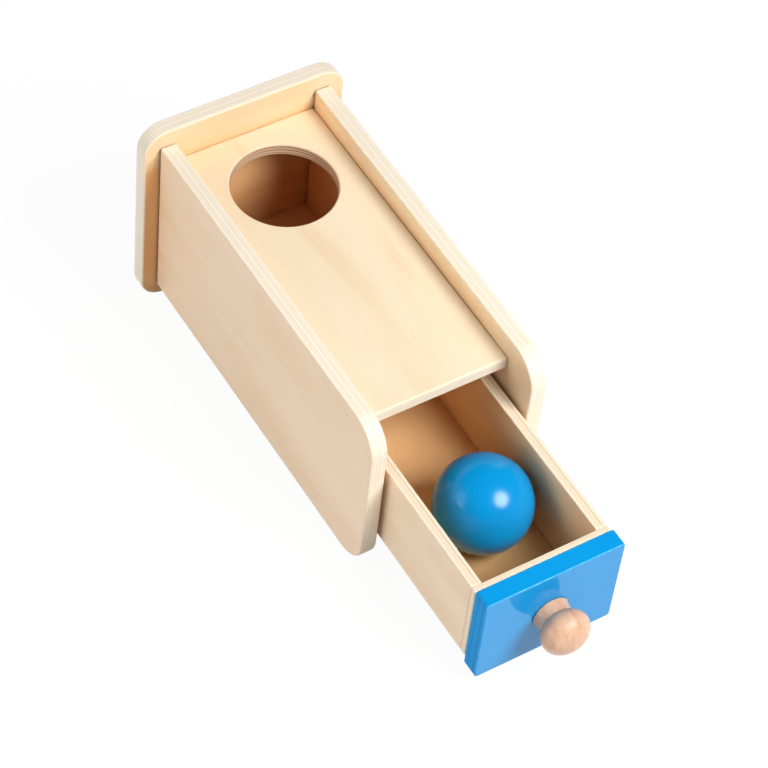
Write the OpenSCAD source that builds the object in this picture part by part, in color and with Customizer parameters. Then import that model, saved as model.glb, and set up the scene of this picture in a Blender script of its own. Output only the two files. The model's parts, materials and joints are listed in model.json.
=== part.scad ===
// Object permanence box: a plywood case with a ball hole in its top board, a loose drawer with a
// painted front and a turned knob, and a ball.

/* [Case] */
// Clear width of the bay between the two side boards
bay_w = 80; // [70:0.5:120]
// Thickness of each side board
side_t = 9; // [8:0.5:15]
// Height of the side boards
side_h = 103; // [90:1:140]
// Length of the side boards from the back panel to their front edges
side_l = 207; // [190:1:280]
// Radius of the side boards' two front corners
side_r = 17; // [5:0.5:30]

/* [Back panel] */
// Thickness of the back panel
panel_t = 9; // [8:0.5:15]
// How far the back panel stands out past each side board
panel_side_rim = 8.5; // [3:0.5:20]
// How far the back panel stands above the side boards
panel_top_rim = 9.2; // [3:0.1:20]
// How far the back panel reaches below the side boards
panel_foot_rim = 9; // [2:0.5:15]
// Radius of the back panel's corners
panel_r = 13.5; // [4:0.5:20]

/* [Top board and bay floor] */
// Thickness of the top board
top_t = 7.5; // [6:0.5:10]
// How far the top board lies below the upper edges of the side boards
top_drop = 12.5; // [4:0.5:20]
// Thickness of the bay floor
floor_t = 7.5; // [6:0.5:10]
// Height of the bay floor's underside above the lower edges of the side boards
floor_lift = 10.5; // [4:0.5:14]
// How far both boards stop short of the side boards' front edges
board_setback = 21; // [14:0.5:40]
// Diameter of the ball hole in the top board
hole_d = 55; // [52:0.5:65]
// Distance from the back panel to the centre of the ball hole
hole_y = 40; // [36:0.5:48]

/* [Drawer] */
// How far the drawer is pulled out
drawer_pull = 97; // [0:1:150]
// Gap between the drawer and each side board
drawer_side_gap = 2.25; // [0.5:0.05:4]
// Gap between the drawer and the bay floor
drawer_floor_gap = 0.3; // [0.2:0.1:1]
// Clear height between the drawer's walls and the top board
drawer_headroom = 13.2; // [4:0.1:25]
// Gap between the drawer and the back panel when the drawer is shut
drawer_back_gap = 2; // [0.5:0.1:10]
// Gap between the painted front and the bay floor's edge when the drawer is shut
shut_gap = 0.3; // [0.2:0.1:1]
// Thickness of the drawer's side walls
wall_t = 6; // [4:0.5:8]
// Thickness of the drawer's back wall
rear_t = 6; // [4:0.5:10]
// Thickness of the drawer's plain front wall, behind the painted front
end_t = 3.5; // [3:0.5:8]
// Thickness of the drawer's bottom sheet
bottom_t = 3; // [2:0.5:6]

/* [Painted front] */
// Thickness of the painted front
front_t = 10; // [6:0.5:13]
// Mean gap between the painted front and each side board when the drawer is shut
front_side_gap = 1.5; // [1.2:0.1:3]
// How far the painted front sits to the right of the drawer's middle
front_shift = 1; // [-1:0.1:1]
// How far the painted front stands above the drawer's walls
front_rise = 0.7; // [0:0.1:3]
// How far the painted front hangs below the bay floor's upper face
front_lap = 6; // [1:0.5:8]
// Radius of the painted front's corners
front_r = 2; // [0.5:0.1:6]

/* [Knob] */
// Diameter of the knob's head
knob_d = 25.5; // [20:0.5:34]
// Thickness of the knob's head, were its back not cut off by the neck
knob_head_l = 18.8; // [12:0.2:26]
// Length of the knob's neck
knob_neck_l = 6.4; // [2:0.1:12]
// Diameter of the knob's neck
knob_neck_d = 17.5; // [10:0.5:18]
// Diameter of the knob's foot on the painted front
knob_foot_d = 19.5; // [10:0.5:24]

/* [Ball] */
// Diameter of the ball
ball_d = 50; // [30:0.5:51.5]
// Gap between the ball and the drawer's plain front wall
ball_to_front = 26.2; // [4:0.1:110]

/* [Fixings] */
// Diameter of the dowels in the case
dowel_d = 4; // [3:0.5:5]
// Length of the dowels
dowel_l = 18; // [12:0.5:20]
// How deep each dowel sits in the board whose face it enters
dowel_bite = 6; // [3:0.5:7]
// Diameter of the brads in the drawer
brad_d = 1.2; // [0.8:0.1:2]
// Length of the brads
brad_l = 16; // [12:0.5:24]
// Diameter of the knob screw's shank
screw_d = 4; // [3:0.1:5]
// How deep the screw goes into the knob
screw_bite = 12; // [5:0.5:16]

/* [Hidden] */
$fn = 96;

// Cuts run past the faces they open by this much
cut_over = 1;
// Glue film round a dowel, a brad or the screw, and the empty end of a blind hole
fix_gap = 0.05;
hole_end_gap = 0.5;

// Where the dowels stand along the boards and up the side boards
board_dowel_shares = [0.45, 0.9];
side_dowel_shares = [0.22, 0.78];
// Where the brads stand up the drawer's walls
brad_shares = [0.25, 0.75];
brad_head_d = 2.2;
brad_head_h = 0.8;
brad_tip_l = 2;
screw_head_d = 8;
screw_head_h = 2.6;
screw_tip_l = 3;
screw_slot_w = 1.2;
screw_slot_l = 5;
screw_slot_h = 1.3;
// Blunt end of a brad's or the screw's point, as a share of its shank
tip_share = 0.25;
// Places of the ball: its share of the side play, and its running gap over the drawer's bottom
ball_side_share = 0.6;
ball_gap = 0.25;
// Facets of the knob's outline
knob_steps = 20;
neck_steps = 6;

board_l = side_l - board_setback;
top_z = side_h - top_drop;
top_under_z = top_z - top_t;
floor_z = floor_lift + floor_t;
side_x = bay_w / 2;

panel_w = bay_w + 2 * (side_t + panel_side_rim);
panel_h = panel_foot_rim + side_h + panel_top_rim;

drawer_z = floor_z + drawer_floor_gap;
drawer_h = top_under_z - drawer_headroom - drawer_z;
drawer_w = bay_w - 2 * drawer_side_gap;
drawer_in_w = drawer_w - 2 * wall_t;
drawer_l = board_l + shut_gap - drawer_back_gap;
end_y = -(board_l + shut_gap + drawer_pull);
end_in_y = end_y + end_t;
rear_y = end_y + drawer_l;
rear_in_y = rear_y - rear_t;
wall_mid_x = (drawer_w - wall_t) / 2;

front_w = bay_w - 2 * front_side_gap;
front_z = floor_z - front_lap;
front_h = drawer_z + drawer_h + front_rise - front_z;
front_mid_z = front_z + front_h / 2;
front_y = end_y - front_t;

knob_r = knob_d / 2;
head_half = knob_head_l / 2;
neck_angle = acos(knob_neck_d / knob_d);
head_z = knob_neck_l + head_half * sin(neck_angle);
knob_l = head_z + head_half;
screw_l = end_t + front_t + screw_bite;

ball_x = ball_side_share * (drawer_in_w - ball_d) / 2;
ball_y = end_in_y + ball_to_front + ball_d / 2;
ball_z = drawer_z + bottom_t + ball_gap + ball_d / 2;

// The back panel reaches lower than the side boards, so the box stands on the panel's foot and on
// the two front corners and leans forward by this angle.
lean_run = side_l - side_r;
lean_rise = panel_foot_rim + side_r;
lean = atan2(lean_rise, lean_run) - asin(side_r / norm([lean_run, lean_rise]));
stand_z = panel_foot_rim * cos(lean);
back_reach = panel_t * cos(lean) + panel_foot_rim * sin(lean);
knob_reach = norm([head_half * cos(lean), knob_r * sin(lean)])
    - (front_y - head_z) * cos(lean) + front_mid_z * sin(lean);
stand_y = (knob_reach - back_reach) / 2;

ply = [0.93, 0.81, 0.64];
ply_pale = [0.96, 0.88, 0.74];
ply_dark = [0.80, 0.62, 0.43];
beech = [0.87, 0.66, 0.47];
paint = [0.00, 0.53, 0.86];
ball_blue = [0.00, 0.48, 0.80];
steel = [0.70, 0.71, 0.72];

// Sets the box down on its feet, with the origin below its middle
module standing() {
    translate([0, stand_y, stand_z]) rotate([lean, 0, 0]) children();
}

// A sheet outline with four round corners, about its middle
module round_outline(w, h, r) {
    square([w - 2 * r, h], center = true);
    square([w, h - 2 * r], center = true);
    for (x = [-1, 1], y = [-1, 1])
        translate([x * (w / 2 - r), y * (h / 2 - r)]) circle(r);
}

// A side board's outline: square at the back panel, round at both front corners
module side_outline() {
    translate([side_r - side_l, 0]) square([side_l - side_r, side_h]);
    translate([-side_l, side_r]) square([side_r, side_h - 2 * side_r]);
    for (z = [side_r, side_h - side_r])
        translate([side_r - side_l, z]) circle(side_r);
}

module side_board() {
    rotate([90, 0, 90]) linear_extrude(side_t) side_outline();
}

// With a gap a fixing is drawn as the hole bored for it
function blind_end(gap) = gap > 0 ? hole_end_gap : 0;
function mouth_over(gap) = gap > 0 ? cut_over : 0;

// A dowel along +z, whose first stretch sits below z = 0 in the board that it enters face on
module dowel(gap) {
    translate([0, 0, -dowel_bite - blind_end(gap)])
        cylinder(d = dowel_d + 2 * gap, h = dowel_l + 2 * blind_end(gap));
}

// The dowels of one side board and the panel, or of a board between the side boards
module side_dowel_set(gap) {
    for (s = [-1, 1], k = side_dowel_shares)
        translate([s * (side_x + side_t / 2), 0, k * side_h]) rotate([90, 0, 0]) dowel(gap);
}
module board_dowel_set(mid_z, gap) {
    for (s = [-1, 1], k = board_dowel_shares)
        translate([s * side_x, -k * board_l, mid_z]) rotate([0, -s * 90, 0]) dowel(gap);
}
module top_dowel_set(gap) {
    board_dowel_set(top_z - top_t / 2, gap);
}
module floor_dowel_set(gap) {
    board_dowel_set(floor_z - floor_t / 2, gap);
}

// A brad along +z with its head flush at z = 0
module brad(gap) {
    translate([0, 0, -mouth_over(gap)])
        cylinder(d = brad_head_d + 2 * gap, h = brad_head_h + mouth_over(gap));
    cylinder(d = brad_d + 2 * gap, h = brad_l - brad_tip_l);
    translate([0, 0, brad_l - brad_tip_l])
        cylinder(d1 = brad_d + 2 * gap, d2 = tip_share * brad_d + 2 * gap, h = brad_tip_l + gap);
}
module brad_set(gap) {
    for (s = [-1, 1], k = brad_shares) {
        translate([s * wall_mid_x, end_y, drawer_z + k * drawer_h]) rotate([-90, 0, 0]) brad(gap);
        translate([s * drawer_w / 2, rear_y - rear_t / 2, drawer_z + k * drawer_h])
            rotate([0, -s * 90, 0]) brad(gap);
    }
}

// The knob screw's axis runs forward from the inside of the plain front wall
module screw_axis() {
    translate([front_shift, end_in_y, front_mid_z]) rotate([90, 0, 0]) children();
}
module screw_shank(gap) {
    translate([0, 0, -mouth_over(gap)])
        cylinder(d = screw_d + 2 * gap, h = screw_l - screw_tip_l + mouth_over(gap));
    translate([0, 0, screw_l - screw_tip_l])
        cylinder(d1 = screw_d + 2 * gap, d2 = tip_share * screw_d + 2 * gap, h = screw_tip_l + gap);
}

// The knob's outline: a hollow neck from the foot, then an elliptic head
function knob_outline() = concat(
    [[0, 0]],
    [for (i = [0 : neck_steps - 1]) let (k = i / neck_steps)
        [(knob_neck_d + (knob_foot_d - knob_neck_d) * (1 - k) * (1 - k)) / 2, k * knob_neck_l]],
    [for (i = [0 : knob_steps]) let (a = -neck_angle + i * (90 + neck_angle) / knob_steps)
        [knob_r * cos(a), head_z + head_half * sin(a)]]
);

module drawer_wall(x) {
    translate([x - wall_t / 2, end_in_y, drawer_z])
        cube([wall_t, drawer_l - end_t, drawer_h]);
}

module back_panel() {
    color(ply) standing() difference() {
        translate([0, panel_t, panel_h / 2 - panel_foot_rim]) rotate([90, 0, 0])
            linear_extrude(panel_t) round_outline(panel_w, panel_h, panel_r);
        side_dowel_set(fix_gap);
    }
}

module left_side() {
    color(ply) standing() difference() {
        translate([-side_x - side_t, 0, 0]) side_board();
        side_dowel_set(fix_gap);
        top_dowel_set(fix_gap);
        floor_dowel_set(fix_gap);
    }
}

module right_side() {
    color(ply) standing() difference() {
        translate([side_x, 0, 0]) side_board();
        side_dowel_set(fix_gap);
        top_dowel_set(fix_gap);
        floor_dowel_set(fix_gap);
    }
}

module top_board() {
    color(ply_pale) standing() difference() {
        translate([-side_x, -board_l, top_under_z]) cube([bay_w, board_l, top_t]);
        translate([0, -hole_y, top_under_z - cut_over])
            cylinder(d = hole_d, h = top_t + 2 * cut_over);
        top_dowel_set(fix_gap);
    }
}

module bay_floor() {
    color(ply) standing() difference() {
        translate([-side_x, -board_l, floor_lift]) cube([bay_w, board_l, floor_t]);
        floor_dowel_set(fix_gap);
    }
}

module side_dowels() {
    color(beech) standing() side_dowel_set(0);
}

module top_board_dowels() {
    color(beech) standing() top_dowel_set(0);
}

module bay_floor_dowels() {
    color(beech) standing() floor_dowel_set(0);
}

module drawer_left_wall() {
    color(ply) standing() difference() {
        drawer_wall(-wall_mid_x);
        brad_set(fix_gap);
    }
}

module drawer_right_wall() {
    color(ply) standing() difference() {
        drawer_wall(wall_mid_x);
        brad_set(fix_gap);
    }
}

module drawer_back() {
    color(ply) standing() difference() {
        translate([-drawer_in_w / 2, rear_in_y, drawer_z]) cube([drawer_in_w, rear_t, drawer_h]);
        brad_set(fix_gap);
    }
}

module drawer_inner_front() {
    color(ply) standing() difference() {
        translate([-drawer_w / 2, end_y, drawer_z]) cube([drawer_w, end_t, drawer_h]);
        brad_set(fix_gap);
        screw_axis() screw_shank(fix_gap);
    }
}

module drawer_bottom() {
    color(ply_dark) standing()
        translate([-drawer_in_w / 2, end_in_y, drawer_z])
            cube([drawer_in_w, rear_in_y - end_in_y, bottom_t]);
}

module drawer_brads() {
    color(steel) standing() brad_set(0);
}

module drawer_front() {
    color(paint) standing() difference() {
        translate([front_shift, end_y, front_mid_z]) rotate([90, 0, 0])
            linear_extrude(front_t) round_outline(front_w, front_h, front_r);
        screw_axis() screw_shank(fix_gap);
    }
}

module knob() {
    color(beech) standing() difference() {
        translate([front_shift, front_y, front_mid_z]) rotate([90, 0, 0])
            rotate_extrude() polygon(knob_outline());
        screw_axis() screw_shank(fix_gap);
    }
}

module knob_screw() {
    color(steel) standing() screw_axis() {
        screw_shank(0);
        difference() {
            translate([0, 0, -screw_head_h]) cylinder(d = screw_head_d, h = screw_head_h);
            for (a = [0, 90])
                rotate([0, 0, a])
                    translate([-screw_slot_l / 2, -screw_slot_w / 2, -screw_head_h - cut_over])
                        cube([screw_slot_l, screw_slot_w, screw_slot_h + cut_over]);
        }
    }
}

module ball() {
    color(ball_blue) standing() translate([ball_x, ball_y, ball_z]) sphere(d = ball_d);
}

back_panel();
left_side();
right_side();
top_board();
bay_floor();
side_dowels();
top_board_dowels();
bay_floor_dowels();
drawer_left_wall();
drawer_right_wall();
drawer_back();
drawer_inner_front();
drawer_bottom();
drawer_brads();
drawer_front();
knob();
knob_screw();
ball();
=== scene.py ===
"""Looks of the object permanence box: plywood, a painted front, a turned knob and a painted ball."""

import json
import math
from collections import namedtuple

import bpy
import numpy as np
from mathutils import Matrix, Vector
from mathutils.geometry import tessellate_polygon


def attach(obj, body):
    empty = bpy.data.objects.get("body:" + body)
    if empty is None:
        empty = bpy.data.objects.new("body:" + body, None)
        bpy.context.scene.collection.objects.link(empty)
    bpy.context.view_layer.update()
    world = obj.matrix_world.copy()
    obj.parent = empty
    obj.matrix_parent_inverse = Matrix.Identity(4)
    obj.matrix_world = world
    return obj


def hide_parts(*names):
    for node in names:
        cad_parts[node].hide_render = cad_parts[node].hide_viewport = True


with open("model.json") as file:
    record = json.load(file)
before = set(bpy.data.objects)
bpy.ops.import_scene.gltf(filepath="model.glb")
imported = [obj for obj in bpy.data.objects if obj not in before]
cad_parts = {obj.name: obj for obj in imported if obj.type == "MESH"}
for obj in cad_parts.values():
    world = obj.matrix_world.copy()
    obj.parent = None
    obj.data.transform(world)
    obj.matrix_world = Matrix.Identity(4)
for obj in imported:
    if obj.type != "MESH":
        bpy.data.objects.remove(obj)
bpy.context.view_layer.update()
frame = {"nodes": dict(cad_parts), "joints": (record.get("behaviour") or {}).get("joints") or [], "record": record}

# Camera, in metres and degrees: azimuth turns from the front towards the right side
CAMERA_AIM = (-0.00592, 0.00029, 0.06)
CAMERA_DISTANCE = 1.45895
CAMERA_AZIMUTH = -34.764
CAMERA_ELEVATION = 48.806
CAMERA_ROLL = 4.652
CAMERA_LENS_MM = 140.22

# Lamps: where each stands, its width, and the share of white that it gives a surface that faces it
Lamp = namedtuple("Lamp", "name towards distance width share")
LAMPS = (
    Lamp("key_lamp", (0.31, -0.64, 0.70), 1.5, 0.82, 1.13),
    Lamp("left_lamp", (-0.97, 0.05, 0.17), 1.6, 0.90, 0.34),
    Lamp("small_lamp", (-0.82, 0.22, 0.53), 1.6, 0.90, 0.10),
)
# The studio round the object: its walls are pale and its ceiling is darker
WALL_SHARE = 0.42
CEILING_SHARE = 0.22
# How high the walls reach and where the ceiling starts, as sines of the angle above the horizon
WALL_TOP = 0.25
CEILING_START = 0.42
FLOOR_WIDTH = 40.0
FLOOR_TONE = 0.48
# What the camera sees of the floor: this much shows shadow, and the rest glows
FLOOR_SHADOW_TONE = 0.06
FLOOR_GLOW = 0.95
# A gloss surface mirrors the floor brighter than white, and the studio darker than it lights
MIRRORED_FLOOR_GLOW = 1.5
MIRRORED_STUDIO = 0.2

# Boards, in metres
PANEL_CORNER = 0.0135
SIDE_CORNER = 0.017
FRONT_CORNER = 0.002
CASE_EDGE = 0.0010
DRAWER_EDGE = 0.0006
FRONT_EDGE = 0.0007
# A square corner is eased by this many times the rounding of the edges that meet there
EASED = 1.3
# The open joint that shows between a side board and the panel
JOINT_GAP = 0.0003
# How squarely an edge faces the joint before grime and painted shade darken it
JOINT_FACING = 0.8
ROUNDING_STEPS = 5
ARC_STEP_DEGREES = 5.0

# Knob, in metres
KNOB_NECK = 0.0175
KNOB_FOOT = 0.0195
KNOB_NECK_LENGTH = 0.0064
KNOB_FOOT_EASE = 0.0005
LATHE_STEPS = 96
NECK_STEPS = 24
HEAD_STEPS = 60

# Tints of single boards
PLAIN = (1.0, 1.0, 1.0)
PINKISH = (0.98, 0.90, 0.89)
ROSY = (1.0, 0.96, 0.95)

Board = namedtuple("Board", "name node body slot thick grain corners edge inner tint gap")


def square_corners(edge):
    """Four corner radii of a board with no round corners."""
    return (edge * EASED,) * 4


CASE_SQUARE = square_corners(CASE_EDGE)
DRAWER_SQUARE = square_corners(DRAWER_EDGE)
SIDE_CORNERS = (SIDE_CORNER, CASE_EDGE * EASED, CASE_EDGE * EASED, SIDE_CORNER)
PANEL_CORNERS = (PANEL_CORNER,) * 4
FRONT_CORNERS = (FRONT_CORNER,) * 4


def case_board(name, node, thick, grain, corners=CASE_SQUARE, inner=0.0, tint=PLAIN, gap=0.0):
    return Board(name, node, "case", "plywood", thick, grain, corners, CASE_EDGE, inner, tint, gap)


def drawer_board(name, node, thick, grain, inner, tint=PLAIN):
    slot, corners = "drawer_plywood", DRAWER_SQUARE
    return Board(name, node, "drawer", slot, thick, grain, corners, DRAWER_EDGE, inner, tint, 0.0)


def front_board(name, node, thick, grain):
    slot, corners = "blue_paint", FRONT_CORNERS
    return Board(name, node, "drawer", slot, thick, grain, corners, FRONT_EDGE, 0.0, PLAIN, 0.0)


# Each board's inside share tells which face, along the thickness axis, is on the inside, and how much painted
# shade, a darker and warmer tone, it has: above zero it is the face further along the axis, below zero the nearer
# one
BOARDS = (
    case_board("panel_board", "back_panel", "y", "x", PANEL_CORNERS, inner=-1.0),
    case_board("left_board", "left_side", "x", "y", SIDE_CORNERS, inner=1.0, tint=PINKISH, gap=JOINT_GAP),
    case_board("right_board", "right_side", "x", "y", SIDE_CORNERS, inner=-1.0, gap=JOINT_GAP),
    case_board("top_sheet", "top_board", "z", "y", inner=-1.0),
    case_board("floor_sheet", "bay_floor", "z", "y", inner=1.0),
    drawer_board("left_wall", "drawer_left_wall", "x", "y", inner=0.8, tint=ROSY),
    drawer_board("right_wall", "drawer_right_wall", "x", "y", inner=-0.6),
    drawer_board("back_wall", "drawer_back", "y", "x", inner=-0.8),
    drawer_board("plain_front", "drawer_inner_front", "y", "x", inner=0.8),
    drawer_board("bottom_sheet", "drawer_bottom", "z", "y", inner=0.9),
    front_board("painted_front", "drawer_front", "y", "x"),
)
HOLED_NODE = "top_board"
HOLE_MOUNT = "ball_hole"

# The box leans forward: this turns its own square axes into the row frame
slide_axis = Vector(frame["joints"][0]["axis"])
square = Matrix.Rotation(math.atan2(-slide_axis.z, -slide_axis.y), 4, "X")
AXES = {"x": Vector((1, 0, 0)), "y": Vector((0, 1, 0)), "z": Vector((0, 0, 1))}


def square_box(node):
    """A node's lowest and highest corner along the leaning box's own axes."""
    turn = square.inverted()
    points = np.array([turn @ v.co for v in frame["nodes"][node].data.vertices])
    return Vector(points.min(0)), Vector(points.max(0))


# Meshes

class Shell:
    """One piece's vertices, with their normals and the marks that its material reads, and its faces."""

    # Marks: rounded edges, where paint shows wear and a painted highlight; faces with painted shade inside; a
    # hole's wall; edges with grime and painted shade in a joint
    MARKS = ("wear", "inner", "bored", "joint")

    def __init__(self):
        self.points = []
        self.normals = []
        self.marks = {mark: [] for mark in self.MARKS}
        self.faces = []

    def ring(self, points, normals, **marks):
        """Adds a closed ring of vertices and returns their numbers; a mark is one value or a list."""
        start = len(self.points)
        self.points += [tuple(p) for p in points]
        self.normals += [tuple(n) for n in normals]
        for mark, values in self.marks.items():
            value = marks.get(mark, 0.0)
            values += value if isinstance(value, list) else [value] * len(points)
        return list(range(start, len(self.points)))

    def skin(self, rings):
        """Joins each ring to the next by quads."""
        for low, high in zip(rings, rings[1:]):
            for i in range(len(low)):
                j = (i + 1) % len(low)
                self.faces.append((low[i], low[j], high[j], high[i]))

    def cap(self, loops, up):
        """Closes a ring that faces up or down, leaving out the holes that the other loops bound."""
        if len(loops) == 1:
            self.faces.append(tuple(loops[0] if up else reversed(loops[0])))
            return
        numbers = [n for loop in loops for n in loop]
        for triangle in tessellate_polygon([[Vector(self.points[n]) for n in loop] for loop in loops]):
            a, b, c = (numbers[i] for i in triangle)
            pa, pb, pc = (Vector(self.points[n]) for n in (a, b, c))
            faces_up = (pb - pa).cross(pc - pa).z > 0
            self.faces.append((a, b, c) if faces_up == up else (a, c, b))

    def build(self, name, place):
        """Makes the object, with its normals, its marks and each vertex's place in the box."""
        mesh = bpy.data.meshes.new(name)
        mesh.from_pydata(self.points, [], self.faces)
        mesh.polygons.foreach_set("use_smooth", [True] * len(mesh.polygons))
        mesh.normals_split_custom_set_from_vertices(self.normals)
        for mark, values in self.marks.items():
            mesh.attributes.new(mark, "FLOAT", "POINT").data.foreach_set("value", values)
        into_box = square.inverted() @ place
        in_box = [c for p in self.points for c in into_box @ Vector(p)]
        mesh.attributes.new("in_box", "FLOAT_VECTOR", "POINT").data.foreach_set("vector", in_box)
        piece = bpy.data.objects.new(name, mesh)
        bpy.context.scene.collection.objects.link(piece)
        piece.matrix_world = place
        return piece


def arc_steps(degrees):
    return max(2, round(degrees / ARC_STEP_DEGREES))


def rectangle_outline(width, height, corners):
    """Points and outward normals round a rectangle, anticlockwise from its lower left corner."""
    points, normals = [], []
    signs = ((-1, -1), (1, -1), (1, 1), (-1, 1))
    for quarter, ((sx, sy), radius) in enumerate(zip(signs, corners)):
        centre = Vector((sx * (width / 2 - radius), sy * (height / 2 - radius), 0))
        for step in range(arc_steps(90) + 1):
            angle = math.pi + math.pi / 2 * (quarter + step / arc_steps(90))
            normal = Vector((math.cos(angle), math.sin(angle), 0))
            points.append(centre + normal * radius)
            normals.append(normal)
    return points, normals


def hole_outline(centre, radius):
    """Points and normals round a hole, clockwise, so that its wall faces the hole's axis."""
    angles = [-2 * math.pi * i / LATHE_STEPS for i in range(LATHE_STEPS)]
    normals = [Vector((-math.cos(a), -math.sin(a), 0)) for a in angles]
    return [centre - n * radius for n in normals], normals


def edge_rings(shell, outline, thickness, edge, inner, bored=0.0, joint=0.0):
    """A wall round an outline whose lower and upper edges are rounded: its rings from the bottom up."""
    points, normals = outline
    rings = []
    for side in (-1, 1):
        steps = range(ROUNDING_STEPS + 1)
        for step in steps if side < 0 else reversed(steps):
            angle = math.pi / 2 * step / ROUNDING_STEPS
            inset = edge * (1 - math.sin(angle))
            height = side * (thickness / 2 - edge * (1 - math.cos(angle)))
            lift = Vector((0, 0, side * math.cos(angle)))
            rings.append(shell.ring(
                [p - n * inset + Vector((0, 0, height)) for p, n in zip(points, normals)],
                [n * math.sin(angle) + lift for n in normals],
                wear=math.sin(2 * angle),
                inner=abs(inner) if step == 0 and side * inner > 0 else 0.0,
                bored=bored if step else 0.0,
                joint=[joint if step and n.x > JOINT_FACING else 0.0 for n in normals],
            ))
    shell.skin(rings)
    return rings


def slab(name, size, corners, edge, inner, place, joint, hole=None):
    """A board about the origin: grain along x, thickness along z, every edge rounded."""
    shell = Shell()
    outline = rectangle_outline(size.x, size.y, corners)
    walls = [edge_rings(shell, outline, size.z, edge, inner, joint=joint)]
    if hole:
        walls.append(edge_rings(shell, hole_outline(*hole), size.z, edge, inner, bored=1.0))
    shell.cap([rings[0] for rings in walls], up=False)
    shell.cap([rings[-1] for rings in walls], up=True)
    return shell.build(name, place)


def turned(name, profile, place):
    """A piece turned about z, from (radius, height) points listed from the bottom up."""
    shell = Shell()
    heights = np.gradient([z for _, z in profile])
    radii = np.gradient([r for r, _ in profile])
    angles = [2 * math.pi * i / LATHE_STEPS for i in range(LATHE_STEPS)]
    spokes = [(math.cos(a), math.sin(a)) for a in angles]
    rings = []
    for (radius, z), rise, widen in zip(profile, heights, radii):
        slope = Vector((rise, 0, -widen)).normalized()
        rings.append(shell.ring(
            [(radius * c, radius * s, z) for c, s in spokes],
            [(slope.x * c, slope.x * s, slope.z) for c, s in spokes],
        ))
    shell.skin(rings)
    shell.cap([rings[0]], up=False)
    shell.cap([rings[-1]], up=True)
    return shell.build(name, place)


# Shader nodes

# Boards take their grain from places this far apart, in metres
GRAIN_SHIFT = (0.37, 0.91, 0.53)
NOISE_ROUGHNESS = 0.5


def srgb(red, green, blue):
    """A colour written as 0 to 255 on screen, as Blender's linear colour."""
    shares = [c / 255 for c in (red, green, blue)]
    return tuple(s / 12.92 if s <= 0.04045 else ((s + 0.055) / 1.055) ** 2.4 for s in shares) + (1.0,)


def grey(level):
    return (level, level, level, 1.0)


def add(tree, kind, inputs=None, **settings):
    """Adds a node; an input is a value, or the socket that it is linked to."""
    made = tree.nodes.new("ShaderNode" + kind)
    for name, value in settings.items():
        setattr(made, name, value)
    for key, value in (inputs or {}).items():
        if isinstance(value, bpy.types.NodeSocket):
            tree.links.new(value, made.inputs[key])
        else:
            made.inputs[key].default_value = value
    return made


def math_of(tree, operation, a, b=0.0):
    return add(tree, "Math", {0: a, 1: b}, operation=operation).outputs[0]


def times(tree, a, b):
    return math_of(tree, "MULTIPLY", a, b)


def less(tree, a, b):
    return math_of(tree, "SUBTRACT", a, b)


def mix(tree, factor, a, b, blend="MIX"):
    """Mixes two colours, which are inputs 6 and 7 of the node, into its output 2."""
    made = add(tree, "Mix", {0: factor, 6: a, 7: b}, data_type="RGBA", blend_type=blend)
    return made.outputs[2]


def tinted(tree, colour, tint):
    return mix(tree, 1.0, colour, tint, "MULTIPLY")


def ramp(tree, factor, stops, interpolation="LINEAR"):
    """A colour ramp; a stop is a place and a colour, or a place and a grey level."""
    made = add(tree, "ValToRGB", {0: factor})
    made.color_ramp.interpolation = interpolation
    elements = made.color_ramp.elements
    while len(elements) < len(stops):
        elements.new(0.5)
    for element, (place, colour) in zip(elements, stops):
        element.position = place
        element.color = colour if isinstance(colour, tuple) else grey(colour)
    return made.outputs[0]


def lines(tree, place, bounds, strengths, half):
    """Thin lines across a coordinate that runs from zero to one."""
    stops = []
    for bound, strength in zip(bounds, strengths):
        stops += [(bound - half, 0.0), (bound, strength), (bound + half, 0.0)]
    return ramp(tree, place, stops)


def fade(tree, value, start, end):
    """Zero up to start and one from end on, smoothly; start may be the greater."""
    inputs = {0: value, 1: start, 2: end}
    return add(tree, "MapRange", inputs, interpolation_type="SMOOTHSTEP").outputs[0]


def noise(tree, vector, per_metre, detail=3.0, distortion=0.0):
    """Noise with so many features per metre along each axis."""
    mapped = add(tree, "Mapping", {"Vector": vector, "Scale": per_metre}).outputs[0]
    made = add(tree, "TexNoise", {
        "Vector": mapped, "Scale": 1.0, "Detail": detail,
        "Roughness": NOISE_ROUGHNESS, "Distortion": distortion,
    })
    return made.outputs[0]


def bump(tree, height, strength, distance):
    return add(tree, "Bump", {"Height": height, "Strength": strength, "Distance": distance}).outputs[0]


def mark(tree, name):
    """One of the marks that a piece's vertices carry."""
    return add(tree, "Attribute", attribute_name=name).outputs["Fac"]


def own_coordinates(tree):
    """Coordinates on the piece itself, shifted by its index so that no two boards are alike."""
    coords = add(tree, "TexCoord")
    index = add(tree, "ObjectInfo").outputs["Object Index"]
    shift = add(tree, "VectorMath", {0: GRAIN_SHIFT, "Scale": index}, operation="SCALE").outputs[0]
    moved = add(tree, "VectorMath", {0: coords.outputs["Object"], 1: shift}).outputs[0]
    return coords, moved


Surface = namedtuple("Surface", "place depth along across on_edge")


def board_surface(tree):
    """Where a point is on its board, how deep, and how much it faces along, across and edgeways."""
    coords, place = own_coordinates(tree)
    depth = add(tree, "SeparateXYZ", {0: coords.outputs["Generated"]}).outputs[2]
    facing = add(tree, "SeparateXYZ", {0: coords.outputs["Normal"]}).outputs
    along, across, through = (math_of(tree, "ABSOLUTE", facing[axis]) for axis in range(3))
    return Surface(place, depth, along, across, less(tree, 1.0, through))


def start_material(name):
    made = bpy.data.materials.new(name)
    made.use_nodes = True
    return made, made.node_tree, made.node_tree.nodes["Principled BSDF"]


def link(tree, shader, **sockets):
    for name, socket in sockets.items():
        tree.links.new(socket, shader.inputs[name.replace("_", " ")])


# Plywood; here and below, a ramp's stops pair a level of its noise with the value or colour there

# The inside tone is painted shade: a darker, warmer tone on the faces that look into the box and the drawer
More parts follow.
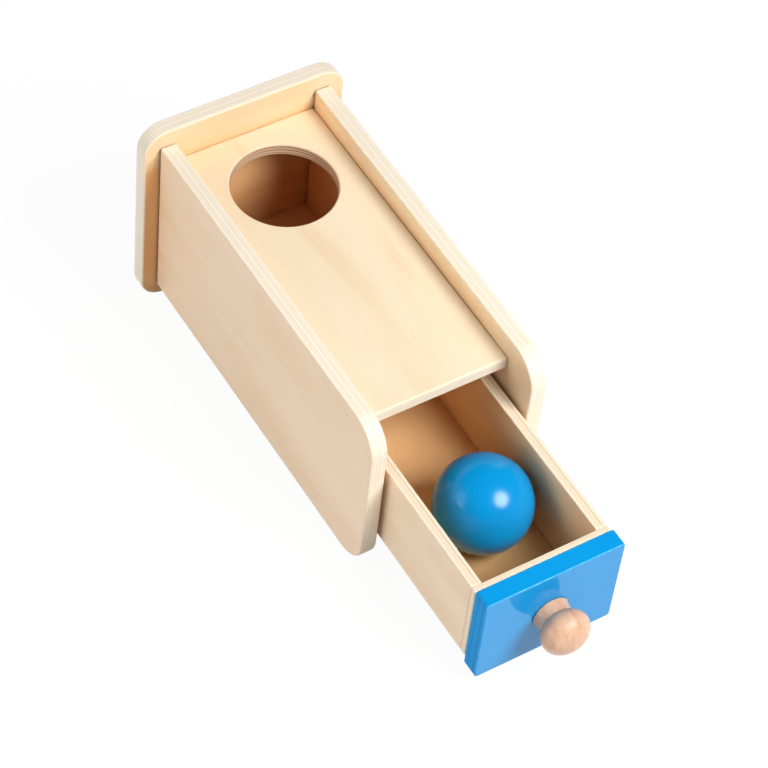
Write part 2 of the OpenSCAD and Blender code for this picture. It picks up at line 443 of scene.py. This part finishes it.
Ply = namedtuple("Ply", "bounds glue glue_half pale mid deep inner side_grain end_grain glue_tone")
CASE_PLY = Ply(
    bounds=(0.22, 0.39, 0.61, 0.78), glue=(0.38, 0.55, 0.55, 0.38), glue_half=0.026,
    pale=srgb(250, 232, 202), mid=srgb(248, 228, 196), deep=srgb(244, 219, 182),
    inner=srgb(246, 208, 156),
    side_grain=srgb(251, 239, 219), end_grain=srgb(246, 233, 211), glue_tone=srgb(210, 186, 156),
)
DRAWER_PLY = Ply(
    bounds=(0.30, 0.68), glue=(0.25, 0.85), glue_half=0.05,
    pale=srgb(247, 228, 199), mid=srgb(244, 222, 191), deep=srgb(239, 213, 177),
    inner=srgb(246, 203, 147),
    side_grain=srgb(241, 227, 203), end_grain=srgb(235, 217, 190), glue_tone=srgb(190, 148, 104),
)
# Features per metre along the grain, across it and through the board
FIGURE = (6, 44, 44)
BLOTCH = (14, 30, 30)
LONG_FIBRE = (70, 2600, 2600)
CROSS_FIBRE = (2600, 70, 2600)
PORES = (260, 5200, 5200)
SPECKLE = (1500, 1500, 1500)
# The figure is warped and takes this share of the tone; blotches have the rest
FIGURE_WARP = 0.6
FIGURE_SHARE = 0.7
DEEP_LEVEL = 0.34
MID_LEVEL = 0.47
PALE_LEVEL = 0.62
# An inside face's painted shade is part a plain tone and part a tone laid over the figure
FIGURED_SHADE_SHARE = 0.5
END_SPECKLE = ((0.35, 1.0), (0.65, 0.7))
FIBRE_STREAK = ((0.30, 0.97), (0.52, 1.0), (0.72, 1.01))
PORE_DARK = ((0.27, 0.88), (0.36, 1.0))
PLYWOOD_ROUGHNESS = ((0.3, 0.52), (0.7, 0.42))
# The hole's wall, darker than the other edges, and the three darker plies that show on it
BORED_TONE = srgb(228, 196, 164)
BORED_LINE = srgb(150, 108, 78)
BORED_PLIES = (0.24, 0.50, 0.76)
BORED_STRENGTHS = (0.8, 1.0, 0.9)
BORED_HALF = 0.075
# Painted shade, darker and warmer, deep in the bay, and the distance in metres over which it comes in
BAY_SHADE_TONE = srgb(248, 212, 176)
BAY_FADE = 0.03
# The share of painted shade that inside faces keep outside the bay, as on the side boards above the top board
RAIL_SHADE_SHARE = 0.22
# Painted warm shade on the wood near the back panel, over this distance in metres
REAR_SHADE_TONE = srgb(255, 251, 245)
REAR_FADE = 0.07
# Grime and painted shade in the open joints and on the edges inside the bay
GRIME_AND_SHADE_TONE = srgb(112, 78, 52)
# Pin knots: cells per metre, of which about one in five holds one, and its radius in cells
KNOT_CELLS = (14, 28, 28)
KNOT_DRAW = (0.80, 0.82)
KNOT_RADIUS = 0.035
KNOT_HARD_SHARE = 1 / 3
KNOT_STRENGTH = 0.7
KNOT_TONE = srgb(164, 118, 80)
# Relief: its depth in metres, its strength, and how much the fibres and the pores give of it
FIBRE_RELIEF = 0.00025
FIBRE_BUMP = 0.18
FIBRE_HEIGHT = 0.6
PORE_HEIGHT = 0.8
PLYWOOD_GLOSS = 0.25


def box_place(tree):
    """A place along the box's own axes: across, back and up."""
    place = add(tree, "Attribute", attribute_name="in_box").outputs["Vector"]
    return add(tree, "SeparateXYZ", {0: place})


def bay_shade_share(tree):
    """How deep in the bay a place is: none above the side boards or in front of the top board."""
    top_low, _ = square_box("top_board")
    rail_top = square_box("left_side")[1].z
    place = box_place(tree)
    under = fade(tree, place.outputs[2], rail_top, top_low.z)
    behind = fade(tree, place.outputs[1], top_low.y, top_low.y + BAY_FADE)
    return times(tree, under, behind)


def rear_shade_share(tree):
    """How near the back panel a place is."""
    front = square_box("back_panel")[0].y
    return fade(tree, box_place(tree).outputs[1], front - REAR_FADE, front)


def between_sides(tree):
    """One between the two side boards, nothing outside them."""
    half = square_box("top_board")[1].x
    off_middle = math_of(tree, "ABSOLUTE", box_place(tree).outputs[0])
    return fade(tree, off_middle, half + CASE_EDGE, half)


def ply_layers(tree, ply, depth):
    """Where the grain runs across, ply by ply, and the glue lines between the plies."""
    starts = [(0.0, 0.0)] + [(bound, float(i % 2 == 0)) for i, bound in enumerate(ply.bounds)]
    cross = ramp(tree, depth, starts, "CONSTANT")
    glue = lines(tree, depth, ply.bounds, ply.glue, ply.glue_half)
    return cross, glue


def pin_knots(tree, place):
    """Small round spots in the few cells that hold a knot."""
    cells = add(tree, "Mapping", {"Vector": place, "Scale": KNOT_CELLS}).outputs[0]
    knots = add(tree, "TexVoronoi", {"Vector": cells, "Scale": 1.0})
    draw = add(tree, "SeparateXYZ", {0: knots.outputs["Color"]}).outputs[0]
    chosen = fade(tree, draw, *KNOT_DRAW)
    spot = fade(tree, knots.outputs["Distance"], KNOT_RADIUS, KNOT_RADIUS * KNOT_HARD_SHARE)
    return times(tree, times(tree, spot, chosen), KNOT_STRENGTH)


def ply_face(tree, ply, place, bay):
    """The flat faces: broad figure, the board's own tint, painted shade inside and by the panel, and pin knots."""
    figure = times(tree, noise(tree, place, FIGURE, distortion=FIGURE_WARP), FIGURE_SHARE)
    blotch = times(tree, noise(tree, place, BLOTCH, detail=2), 1 - FIGURE_SHARE)
    tone = math_of(tree, "ADD", figure, blotch)
    face = ramp(tree, tone, [(DEEP_LEVEL, ply.deep), (MID_LEVEL, ply.mid), (PALE_LEVEL, ply.pale)])
    face = tinted(tree, face, add(tree, "ObjectInfo").outputs["Color"])
    # How much painted shade, darker and warmer, this face gets as an inside face
    inside = mark(tree, "inner")
    inner = mix(tree, FIGURED_SHADE_SHARE, ply.inner, tinted(tree, face, ply.inner))
    if bay:
        # Painted warm shade near the back panel
        face = mix(tree, rear_shade_share(tree), face, tinted(tree, face, REAR_SHADE_TONE))
        # Deep in the bay the painted shade is darker still; outside it, inside faces keep only a share of it
        inner = mix(tree, bay, inner, tinted(tree, face, BAY_SHADE_TONE))
        inside = times(tree, inside, math_of(tree, "MAXIMUM", bay, RAIL_SHADE_SHARE))
    face = mix(tree, inside, face, inner)
    return mix(tree, pin_knots(tree, place), face, KNOT_TONE)


def ply_edge(tree, ply, surface, cross, glue, bay):
    """The edges: side and end grain ply by ply, glue lines, the hole's darker wall, grime and painted shade."""
    end_share = mix(tree, cross, surface.along, surface.across)
    speckle = noise(tree, surface.place, SPECKLE, detail=2)
    end_dark = times(tree, end_share, ramp(tree, speckle, END_SPECKLE))
    edge = mix(tree, end_dark, ply.side_grain, ply.end_grain)
    edge = mix(tree, glue, edge, ply.glue_tone)
    bored = mark(tree, "bored")
    bored_ply_lines = lines(tree, surface.depth, BORED_PLIES, BORED_STRENGTHS, BORED_HALF)
    edge = mix(tree, bored, edge, mix(tree, bored_ply_lines, BORED_TONE, BORED_LINE))
    # Grime and painted shade on the edges inside the bay, though not on the hole's wall
    if bay:
        in_bay = times(tree, times(tree, bay, between_sides(tree)), less(tree, 1.0, bored))
        edge = mix(tree, in_bay, edge, tinted(tree, edge, GRIME_AND_SHADE_TONE))
    return edge


def plywood(name, ply, in_case):
    """Birch plywood: long grain on the faces, alternate plies and glue lines on the edges."""
    made, tree, shader = start_material(name)
    surface = board_surface(tree)
    cross, glue = ply_layers(tree, ply, surface.depth)
    bay = bay_shade_share(tree) if in_case else None
    face = ply_face(tree, ply, surface.place, bay)
    edge = ply_edge(tree, ply, surface, cross, glue, bay)
    colour = mix(tree, surface.on_edge, face, edge)
    # Grime and painted shade in the open joints
    colour = mix(tree, mark(tree, "joint"), colour, GRIME_AND_SHADE_TONE)

    long_fibre = noise(tree, surface.place, LONG_FIBRE)
    cross_fibre = noise(tree, surface.place, CROSS_FIBRE)
    fibre = mix(tree, cross, long_fibre, cross_fibre)
    pores = noise(tree, surface.place, PORES, detail=1)
    streak = ramp(tree, fibre, FIBRE_STREAK)
    pore_dark = ramp(tree, pores, PORE_DARK)
    colour = tinted(tree, tinted(tree, colour, streak), pore_dark)

    roughness = ramp(tree, fibre, PLYWOOD_ROUGHNESS)
    height = math_of(tree, "ADD", times(tree, fibre, FIBRE_HEIGHT), times(tree, pore_dark, PORE_HEIGHT))
    relief = bump(tree, height, FIBRE_BUMP, FIBRE_RELIEF)
    link(tree, shader, Base_Color=colour, Roughness=roughness, Normal=relief)
    shader.inputs["Specular IOR Level"].default_value = PLYWOOD_GLOSS
    return made


# Paint

PAINT_TONE = srgb(0, 152, 222)
PAINT_DEEP = srgb(0, 147, 217)
# Lighter paint on the rounded edges: worn chips and a painted highlight
PAINT_WEAR_AND_HIGHLIGHT = srgb(92, 192, 242)
PAINT_FURROW = srgb(0, 96, 168)
# Features per metre, the same along every axis
PAINT_CLOUD = (40, 40, 40)
PAINT_CHIPS = (300, 300, 300)
PAINT_PEEL = (420, 420, 420)
PAINT_CLOUD_SHARE = ((0.35, 0.0), (0.65, 1.0))
PAINT_CHIP_AND_HIGHLIGHT_SHARE = ((0.35, 0.25), (0.65, 0.8))
PAINT_ROUGHNESS = ((0.3, 0.04), (0.7, 0.07))
# Two plies sink under the paint on the ends: how deep in the board, and how far each sinks
FURROWS = ((0.20, 0.0), (0.25, 1.0), (0.30, 0.1), (0.40, 0.0), (0.60, 0.0), (0.68, 0.8), (0.74, 0.0))
FURROW_SHARE = 0.75
# Relief: how much the peel rises and the furrows sink, its depth in metres and its strength
PEEL_HEIGHT = 0.025
FURROW_HEIGHT = 0.6
PAINT_RELIEF = 0.0003
PAINT_BUMP = 0.35
PAINT_GLOSS = 0.20
# The paint is dull on the ends, less so on the long edges, and a mirror on the faces
DULL_ROUGHNESS = 0.8
END_DULL_SHARE = 0.8
EDGE_DULL_SHARE = 0.45


def gloss_paint():
    """Blue gloss paint on plywood: a wavy mirror surface, and ply lines that show through on the ends."""
    made, tree, shader = start_material("gloss_blue_paint")
    surface = board_surface(tree)
    cloud = noise(tree, surface.place, PAINT_CLOUD)
    colour = mix(tree, ramp(tree, cloud, PAINT_CLOUD_SHARE), PAINT_DEEP, PAINT_TONE)
    furrow = times(tree, ramp(tree, surface.depth, FURROWS), surface.along)
    colour = mix(tree, times(tree, furrow, FURROW_SHARE), colour, PAINT_FURROW)
    # Worn chips and a painted highlight lighten the paint along its rounded edges
    chips_and_highlight = ramp(tree, noise(tree, surface.place, PAINT_CHIPS, detail=4), PAINT_CHIP_AND_HIGHLIGHT_SHARE)
    colour = mix(tree, times(tree, mark(tree, "wear"), chips_and_highlight), colour, PAINT_WEAR_AND_HIGHLIGHT)

    peel = noise(tree, surface.place, PAINT_PEEL, detail=2)
    height = less(tree, times(tree, peel, PEEL_HEIGHT), times(tree, furrow, FURROW_HEIGHT))
    relief = bump(tree, height, PAINT_BUMP, PAINT_RELIEF)
    smear = ramp(tree, cloud, PAINT_ROUGHNESS)
    end_dull = times(tree, surface.along, END_DULL_SHARE)
    edge_dull = times(tree, surface.on_edge, EDGE_DULL_SHARE)
    dull = math_of(tree, "MAXIMUM", end_dull, edge_dull)
    roughness = mix(tree, dull, smear, grey(DULL_ROUGHNESS))
    link(tree, shader, Base_Color=colour, Roughness=roughness, Normal=relief)
    shader.inputs["Specular IOR Level"].default_value = PAINT_GLOSS
    return made


BALL_TONE = srgb(0, 150, 215)
BALL_DEEP = srgb(0, 141, 207)
BALL_CLOUD = (45, 45, 45)
BALL_PEEL = (700, 700, 700)
BALL_CLOUD_SHARE = ((0.3, 0.0), (0.7, 1.0))
BALL_ROUGHNESS = ((0.3, 0.20), (0.7, 0.24))
BALL_RELIEF = 0.0002
BALL_BUMP = 0.10
BALL_GLOSS = 0.40


def satin_paint():
    """The ball's satin blue paint, with the faint unevenness of a dipped coat."""
    made, tree, shader = start_material("satin_blue_paint")
    _, place = own_coordinates(tree)
    cloud = noise(tree, place, BALL_CLOUD, detail=4)
    colour = mix(tree, ramp(tree, cloud, BALL_CLOUD_SHARE), BALL_DEEP, BALL_TONE)
    relief = bump(tree, noise(tree, place, BALL_PEEL, detail=2), BALL_BUMP, BALL_RELIEF)
    roughness = ramp(tree, cloud, BALL_ROUGHNESS)
    link(tree, shader, Base_Color=colour, Roughness=roughness, Normal=relief)
    shader.inputs["Specular IOR Level"].default_value = BALL_GLOSS
    return made


# Beech and steel

BEECH_PALE = srgb(224, 181, 150)
BEECH_MID = srgb(212, 163, 131)
BEECH_FLECK = srgb(198, 148, 112)
# Features per metre: the grain runs along z
BEECH_BANDS = (220, 90, 30)
BEECH_RAYS = (2400, 420, 260)
BEECH_FIBRE = (1800, 1800, 90)
BEECH_BAND_WARP = 0.8
BEECH_BAND_TONES = ((0.32, BEECH_MID), (0.60, BEECH_PALE))
BEECH_RAY_SHARE = ((0.28, 0.55), (0.38, 0.0))
BEECH_STREAK = ((0.3, 0.90), (0.6, 1.0))
BEECH_ROUGHNESS = ((0.3, 0.44), (0.7, 0.34))
BEECH_RELIEF = 0.0002
BEECH_BUMP = 0.12
STEEL_DULL = srgb(196, 198, 200)
STEEL_BRIGHT = srgb(214, 216, 218)
STEEL_SCRATCHES = (6000, 6000, 900)
STEEL_TONES = ((0.3, STEEL_DULL), (0.7, STEEL_BRIGHT))
STEEL_ROUGHNESS = ((0.3, 0.38), (0.7, 0.24))


def beech():
    """Turned beech, grain along z: growth bands, and the short dark rays that beech shows."""
    made, tree, shader = start_material("turned_beech")
    _, place = own_coordinates(tree)
    bands = noise(tree, place, BEECH_BANDS, distortion=BEECH_BAND_WARP)
    colour = ramp(tree, bands, BEECH_BAND_TONES)
    rays = ramp(tree, noise(tree, place, BEECH_RAYS, detail=1), BEECH_RAY_SHARE)
    colour = mix(tree, rays, colour, BEECH_FLECK)
    fibre = noise(tree, place, BEECH_FIBRE, detail=2)
    colour = tinted(tree, colour, ramp(tree, fibre, BEECH_STREAK))
    roughness = ramp(tree, fibre, BEECH_ROUGHNESS)
    relief = bump(tree, fibre, BEECH_BUMP, BEECH_RELIEF)
    link(tree, shader, Base_Color=colour, Roughness=roughness, Normal=relief)
    return made


def bright_steel():
    """Steel of the brads and the knob's screw, with fine drawn scratches."""
    made, tree, shader = start_material("bright_steel")
    _, place = own_coordinates(tree)
    scratches = noise(tree, place, STEEL_SCRATCHES, detail=2)
    colour = ramp(tree, scratches, STEEL_TONES)
    roughness = ramp(tree, scratches, STEEL_ROUGHNESS)
    link(tree, shader, Base_Color=colour, Roughness=roughness)
    shader.inputs["Metallic"].default_value = 1.0
    return made


SURFACES = {
    "plywood": plywood("birch_plywood", CASE_PLY, in_case=True),
    "drawer_plywood": plywood("thin_plywood", DRAWER_PLY, in_case=False),
    "blue_paint": gloss_paint(),
    "blue_ball": satin_paint(),
    "beech": beech(),
    "steel": bright_steel(),
}


# Pieces

def dress(piece, index, body, slot, *nodes):
    """Gives a piece the surface of its slot and its body, and puts it in the place of its CAD nodes."""
    piece.data.materials.append(SURFACES[slot])
    piece.pass_index = index
    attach(piece, body)
    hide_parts(*nodes)


def board_piece(board):
    low, high = square_box(board.node)
    grain, thick = AXES[board.grain], AXES[board.thick]
    across = thick.cross(grain)
    turn = Matrix((grain, across, thick)).transposed()
    place = square @ Matrix.Translation((low + high) / 2) @ turn.to_4x4()
    size = Vector([abs(c) for c in turn.transposed() @ (high - low)])
    size.x -= board.gap
    place = place @ Matrix.Translation((-board.gap / 2, 0, 0))
    hole = None
    if board.node == HOLED_NODE:
        mount = next(m for m in frame["record"]["mounts"] if m["name"] == HOLE_MOUNT)
        middle = place.inverted() @ Vector(mount["pos_m"])
        hole = (Vector((middle.x, middle.y, 0)), mount["dims"]["r_mm"] / 1000)
    joint = 1.0 if board.gap else 0.0
    return slab(board.name, size, board.corners, board.edge, board.inner, place, joint, hole)


def knob_profile(length, head):
    """Radius and height from the foot up: an eased foot, a hollow neck, then an elliptic head."""
    meet = math.acos(KNOB_NECK / head)
    half = (length - KNOB_NECK_LENGTH) / (1 + math.sin(meet))
    profile = [(KNOB_FOOT / 2 - KNOB_FOOT_EASE, 0.0)]
    for step in range(NECK_STEPS):
        share = step / NECK_STEPS
        radius = (KNOB_NECK + (KNOB_FOOT - KNOB_NECK) * (1 - share) ** 2) / 2
        profile.append((radius, KNOB_FOOT_EASE + share * (KNOB_NECK_LENGTH - KNOB_FOOT_EASE)))
    for step in range(HEAD_STEPS):
        angle = -meet + (math.pi / 2 + meet) * step / HEAD_STEPS
        profile.append((head / 2 * math.cos(angle), length - half + half * math.sin(angle)))
    return profile


def knob_piece():
    low, high = square_box("knob")
    middle = (low + high) / 2
    foot = Vector((middle.x, high.y, middle.z))
    place = square @ Matrix.Translation(foot) @ Matrix.Rotation(math.pi / 2, 4, "X")
    return turned("turned_knob", knob_profile(high.y - low.y, high.x - low.x), place)


def ball_piece():
    low, high = square_box("ball")
    radius = (high.x - low.x) / 2
    angles = [math.pi * (step + 0.5) / LATHE_STEPS - math.pi / 2 for step in range(LATHE_STEPS)]
    profile = [(radius * math.cos(a), radius * math.sin(a)) for a in angles]
    return turned("painted_ball", profile, square @ Matrix.Translation((low + high) / 2))


for number, board in enumerate(BOARDS):
    made_board = board_piece(board)
    made_board.color = board.tint + (1.0,)
    dress(made_board, number, board.body, board.slot, board.node)
dress(knob_piece(), len(BOARDS), "drawer", "beech", "knob")
dress(ball_piece(), len(BOARDS) + 1, "ball", "blue_ball", "ball")

# Fixings keep their CAD meshes
for node, slot in (
    ("side_dowels", "beech"), ("top_board_dowels", "beech"), ("bay_floor_dowels", "beech"),
    ("drawer_brads", "steel"), ("knob_screw", "steel"),
):
    materials = frame["nodes"][node].data.materials
    materials.clear()
    materials.append(SURFACES[slot])


# Stage, light and camera

def studio_floor():
    """A floor that shows as white with a faint shadow, and lights the object as a plain one does."""
    made = bpy.data.materials.new("studio_floor")
    made.use_nodes = True
    tree = made.node_tree
    tree.nodes.clear()
    path = add(tree, "LightPath")
    seen = math_of(tree, "MAXIMUM", path.outputs["Is Camera Ray"], path.outputs["Is Glossy Ray"])
    seen = math_of(tree, "MAXIMUM", seen, path.outputs["Is Transmission Ray"])
    plain = add(tree, "BsdfDiffuse", {"Color": grey(FLOOR_TONE)})
    shadowed = add(tree, "BsdfDiffuse", {"Color": grey(FLOOR_SHADOW_TONE)})
    extra = times(tree, path.outputs["Is Glossy Ray"], MIRRORED_FLOOR_GLOW - FLOOR_GLOW)
    glow = add(tree, "Emission", {"Strength": math_of(tree, "ADD", FLOOR_GLOW, extra)})
    shown = add(tree, "AddShader", {0: shadowed.outputs[0], 1: glow.outputs[0]})
    either = add(tree, "MixShader", {0: seen, 1: plain.outputs[0], 2: shown.outputs[0]})
    add(tree, "OutputMaterial", {"Surface": either.outputs[0]})
    return made


def set_studio():
    """The world: pale walls under a darker ceiling, dimmer in a mirror."""
    world = bpy.data.worlds.new("studio")
    bpy.context.scene.world = world
    world.use_nodes = True
    sky = world.node_tree
    direction = add(sky, "TexCoord").outputs["Generated"]
    height = add(sky, "SeparateXYZ", {0: direction}).outputs[2]
    shade = ramp(sky, height, [(WALL_TOP, WALL_SHARE), (CEILING_START, CEILING_SHARE)])
    mirrored = add(sky, "LightPath").outputs["Is Glossy Ray"]
    strength = less(sky, 1.0, times(sky, mirrored, 1.0 - MIRRORED_STUDIO))
    link(sky, sky.nodes["Background"], Color=shade, Strength=strength)


def set_lamp(lamp):
    data = bpy.data.lights.new(lamp.name, "AREA")
    data.shape = "DISK"
    data.size = lamp.width
    data.energy = lamp.share * (math.pi * lamp.distance) ** 2
    piece = bpy.data.objects.new(lamp.name, data)
    bpy.context.scene.collection.objects.link(piece)
    towards = Vector(lamp.towards).normalized()
    piece.location = Vector(CAMERA_AIM) + towards * lamp.distance
    piece.rotation_euler = towards.to_track_quat("Z", "Y").to_euler()


def set_camera():
    """The photograph's camera, rolled a little, as it looks at the aim."""
    azimuth = math.radians(CAMERA_AZIMUTH)
    elevation = math.radians(CAMERA_ELEVATION)
    reach = math.cos(elevation)
    back = Vector((math.sin(azimuth) * reach, -math.cos(azimuth) * reach, math.sin(elevation)))
    data = bpy.data.cameras.new("photo_camera")
    data.lens = CAMERA_LENS_MM
    camera = bpy.data.objects.new("photo_camera", data)
    bpy.context.scene.collection.objects.link(camera)
    level = (-back).to_track_quat("-Z", "Y").to_matrix().to_4x4()
    roll = Matrix.Rotation(math.radians(CAMERA_ROLL), 4, "Z")
    camera.matrix_world = Matrix.Translation(Vector(CAMERA_AIM) + back * CAMERA_DISTANCE) @ level @ roll
    bpy.context.scene.camera = camera


bpy.ops.mesh.primitive_plane_add(size=FLOOR_WIDTH)
stage_floor = bpy.context.object
stage_floor.name = "stage_floor"
stage_floor.data.materials.append(studio_floor())
set_studio()
for lamp in LAMPS:
    set_lamp(lamp)
set_camera()
bpy.context.scene.view_settings.view_transform = "Standard"
